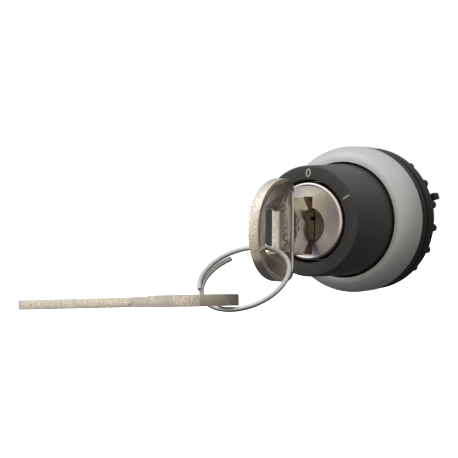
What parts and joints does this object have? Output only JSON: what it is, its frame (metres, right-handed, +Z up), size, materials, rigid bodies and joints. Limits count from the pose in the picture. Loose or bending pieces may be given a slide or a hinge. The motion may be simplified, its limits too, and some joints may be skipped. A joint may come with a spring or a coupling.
{
  "type": "key-operated selector switch",
  "caption": "Round panel-mount selector switch turned by a key, with a dark knob, a silver bezel, a ribbed ring nut and a key ring with a spare key.",
  "frame": {"origin": "centre of the panel cut-out on the panel's front surface, where the gasket seats", "axes": "+Y along the switch from the operator towards the contacts, +Z up to the 0 mark, +X to the right as seen by the operator"},
  "size_m": [0.055, 0.0766, 0.0314],
  "materials": {
    "bezel": "satin silver lacquer on moulded plastic",
    "knob": "fine satin",
    "body": "satin",
    "legend": "matt print",
    "seal": "matt",
    "lock_face": "polished nickel",
    "die_cast": "as cast",
    "brass": "stamped",
    "steel": "drawn wire and strip",
    "key_metal": "nickel plated, brushed",
    "cam": "moulded",
    "plunger": "moulded"
  },
  "bodies": {
    "housing": {"mounting_body": "body", "bezel_ring": "bezel", "panel_gasket": "seal", "lock_housing": "knob", "legend_0": "legend", "legend_1": "legend", "stem_seal": "seal", "housing_clip": "steel", "rear_cover": "body", "lock_stator": "die_cast", "detent_ball": "steel", "detent_spring": "steel", "plunger_spring_left": "steel", "plunger_spring_right": "steel"},
    "rotor": {"lock_rotor": "lock_face", "rotor_seal": "seal", "rotor_clip": "steel", "drive_cam": "cam", "cam_screw": "steel", "wafer_spring_1": "steel", "wafer_spring_2": "steel", "wafer_spring_3": "steel", "wafer_spring_4": "steel", "wafer_spring_5": "steel"},
    "key_in_lock": {"key_1": "key_metal"},
    "ring": {"key_ring": "steel"},
    "spare_key": {"key_2": "key_metal"},
    "plunger_left": {"plunger_left": "plunger"},
    "plunger_right": {"plunger_right": "plunger"},
    "nut_washer": {"thrust_washer": "die_cast"},
    "ring_nut": {"ring_nut": "body"},
    "wafer_1": {"wafer_1": "brass"},
    "wafer_2": {"wafer_2": "brass"},
    "wafer_3": {"wafer_3": "brass"},
    "wafer_4": {"wafer_4": "brass"},
    "wafer_5": {"wafer_5": "brass"}
  },
  "joints": [
    {"name": "lock_turn", "type": "hinge", "parent": "housing", "child": "rotor", "pos_m": [0, -0.02, 0], "axis": [0, 1, 0], "range_deg": [0, 60]},
    {"name": "key_pull", "type": "slide", "parent": "rotor", "child": "key_in_lock", "axis": [0, -1, 0], "range_m": [-0.0025, 0.0265]},
    {"name": "ring_swing", "type": "hinge", "parent": "key_in_lock", "child": "ring", "pos_m": [0, -0.03889, -0.00447], "axis": [1, 0, 0], "range_deg": [-8, 60]},
    {"name": "spare_key_swing", "type": "hinge", "parent": "ring", "child": "spare_key", "pos_m": [-0.0045, -0.05074, -0.01392], "axis": [0.8482, -0.4151, -0.3291], "range_deg": [-6, 10]},
    {"name": "wafer_1_lift", "type": "slide", "parent": "rotor", "child": "wafer_1", "axis": [0, 0, 1], "range_m": [-0.0001, 0.0007], "deforming": ["wafer_spring_1"]},
    {"name": "wafer_2_lift", "type": "slide", "parent": "rotor", "child": "wafer_2", "axis": [0, 0, -1], "range_m": [-0.0001, 0.0007], "deforming": ["wafer_spring_2"]},
    {"name": "wafer_3_lift", "type": "slide", "parent": "rotor", "child": "wafer_3", "axis": [0, 0, 1], "range_m": [-0.0001, 0.0007], "deforming": ["wafer_spring_3"]},
    {"name": "wafer_4_lift", "type": "slide", "parent": "rotor", "child": "wafer_4", "axis": [0, 0, -1], "range_m": [-0.0001, 0.0007], "deforming": ["wafer_spring_4"]},
    {"name": "wafer_5_lift", "type": "slide", "parent": "rotor", "child": "wafer_5", "axis": [0, 0, 1], "range_m": [-0.0001, 0.0007], "deforming": ["wafer_spring_5"]},
    {"name": "plunger_left_push", "type": "slide", "parent": "housing", "child": "plunger_left", "axis": [0, 1, 0], "range_m": [0, 0.0031], "deforming": ["plunger_spring_left"]},
    {"name": "plunger_right_push", "type": "slide", "parent": "housing", "child": "plunger_right", "axis": [0, 1, 0], "range_m": [0, 0.0031], "deforming": ["plunger_spring_right"]},
    {"name": "nut_advance", "type": "slide", "parent": "housing", "child": "nut_washer", "axis": [0, 1, 0], "range_m": [0, 0.0049]},
    {"name": "nut_spin", "type": "hinge", "parent": "nut_washer", "child": "ring_nut", "pos_m": [0, 0.003, 0], "axis": [0, 1, 0], "range_deg": [0, 1170]}
  ],
  "couplings": [
    {"joint": "wafer_1_lift", "follows": "key_pull", "ratio": 0.026389},
    {"joint": "wafer_2_lift", "follows": "key_pull", "ratio": 0.026389},
    {"joint": "wafer_3_lift", "follows": "key_pull", "ratio": 0.026389},
    {"joint": "wafer_4_lift", "follows": "key_pull", "ratio": 0.026389},
    {"joint": "wafer_5_lift", "follows": "key_pull", "ratio": 0.026389},
    {"joint": "plunger_left_push", "follows": "lock_turn", "m_per_rad": 0.0028648},
    {"joint": "plunger_right_push", "follows": "lock_turn", "m_per_rad": 0.0028648},
    {"joint": "nut_advance", "follows": "nut_spin", "m_per_rad": 0.00023873}
  ]
}
